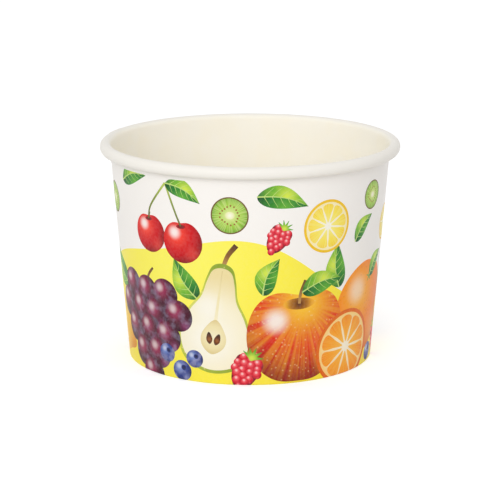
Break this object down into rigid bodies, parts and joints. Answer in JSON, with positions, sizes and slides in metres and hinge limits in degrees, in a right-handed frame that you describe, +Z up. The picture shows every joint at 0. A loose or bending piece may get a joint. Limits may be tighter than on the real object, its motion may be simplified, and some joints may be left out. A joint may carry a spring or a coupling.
{
  "type": "paper dessert cup",
  "caption": "Tapered round paperboard cup with a rolled rim, lapped side seam and recessed base held in an inward fold at the foot.",
  "frame": {"origin": "middle of the foot, on the table", "axes": "+Z up along the cup's axis; the lapped side seam is at the back left, between -X and +Y"},
  "size_m": [0.097, 0.097, 0.0712],
  "materials": {
    "printed_board": "satin",
    "plain_board": "satin"
  },
  "bodies": {
    "root": {"side_wall": "printed_board", "base_disc": "plain_board"}
  },
  "joints": []
}
